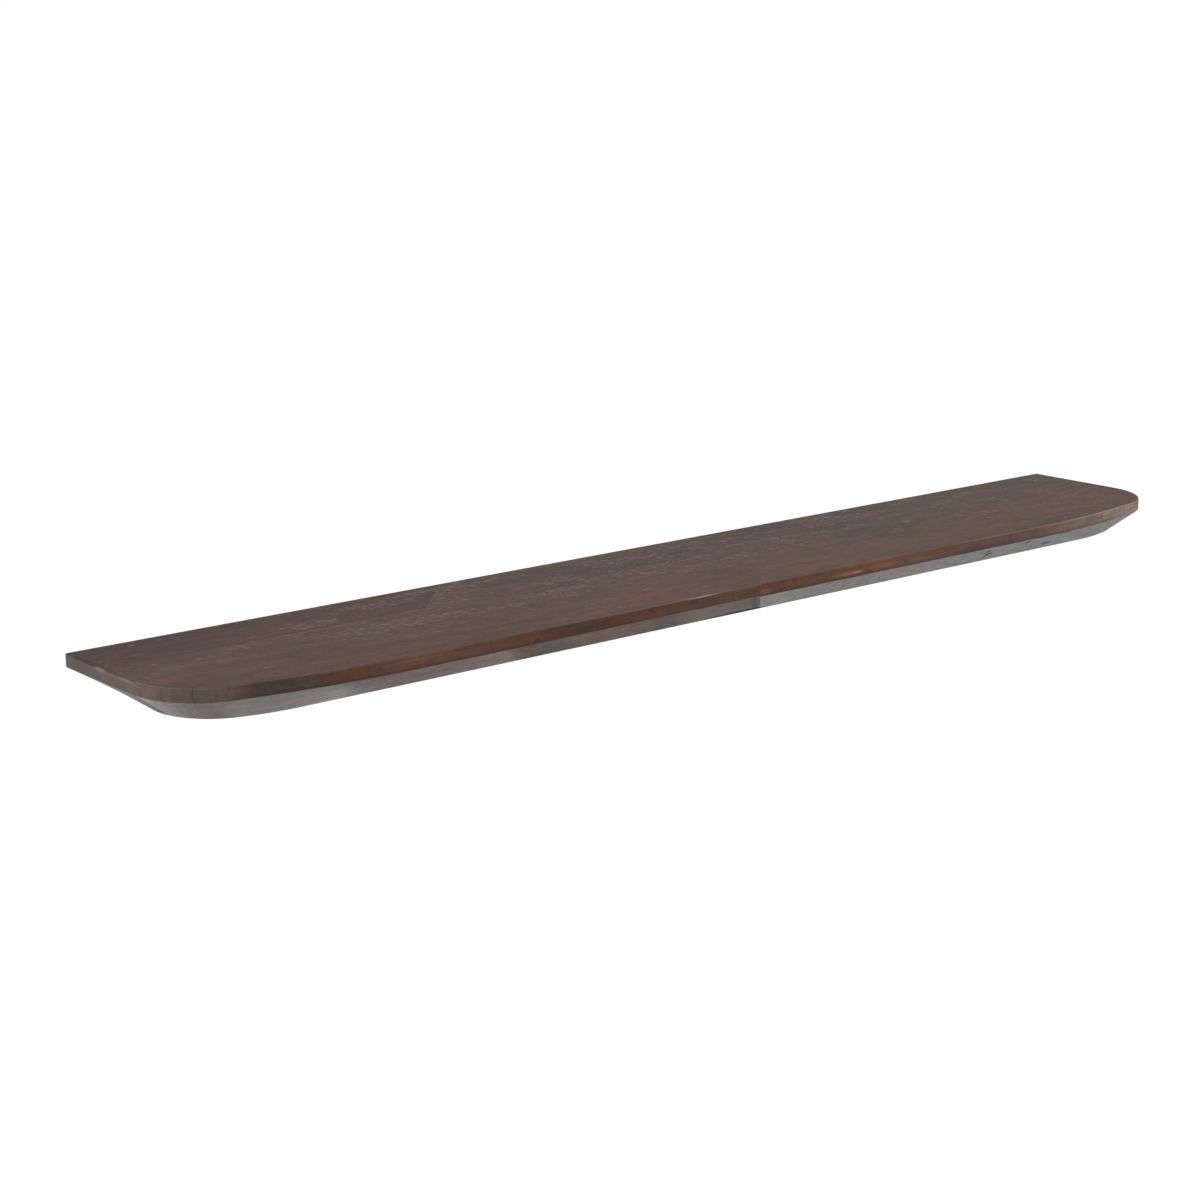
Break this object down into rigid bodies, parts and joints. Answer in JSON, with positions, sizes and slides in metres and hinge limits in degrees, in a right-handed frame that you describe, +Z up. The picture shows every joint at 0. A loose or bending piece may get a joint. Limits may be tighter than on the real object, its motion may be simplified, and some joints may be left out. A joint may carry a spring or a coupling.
{
  "type": "floating wall shelf",
  "caption": "Thick dark-stained hardwood wall shelf with swept front corners and a wide bevel under its front and ends, held by concealed steel rods.",
  "frame": {"origin": "on the wall plane, at the middle of the shelf's length and halfway up its thickness", "axes": "+X along the shelf, +Y into the wall, so the front faces -Y, and +Z up"},
  "size_m": [1.6, 0.306, 0.044],
  "materials": {
    "rear_left_timber": "dark brown stain under satin lacquer",
    "rear_middle_timber": "dark brown stain under satin lacquer",
    "rear_right_timber": "dark brown stain under satin lacquer",
    "centre_left_timber": "dark brown stain under satin lacquer",
    "centre_middle_timber": "dark brown stain under satin lacquer",
    "centre_right_timber": "dark brown stain under satin lacquer",
    "front_left_timber": "dark brown stain under satin lacquer",
    "front_right_timber": "dark brown stain under satin lacquer",
    "support_steel": "bright zinc plating",
    "screw_zinc": "yellow passivated zinc",
    "plug_nylon": "moulded grey nylon"
  },
  "bodies": {
    "wall_supports": {"support_plate_1": "support_steel", "support_plate_2": "support_steel", "support_plate_3": "support_steel", "support_rod_1": "support_steel", "support_rod_2": "support_steel", "support_rod_3": "support_steel", "wall_screws_left": "screw_zinc", "wall_screws_right": "screw_zinc", "wall_plugs_left": "plug_nylon", "wall_plugs_right": "plug_nylon"},
    "shelf_board": {"rear_stave_left": "rear_left_timber", "rear_stave_middle": "rear_middle_timber", "rear_stave_right": "rear_right_timber", "centre_stave_left": "centre_left_timber", "centre_stave_middle": "centre_middle_timber", "centre_stave_right": "centre_right_timber", "front_stave_left": "front_left_timber", "front_stave_right": "front_right_timber"}
  },
  "joints": [
    {"name": "board_pull_off", "type": "slide", "parent": "wall_supports", "child": "shelf_board", "axis": [0, -1, 0], "range_m": [0, 0.115]}
  ]
}
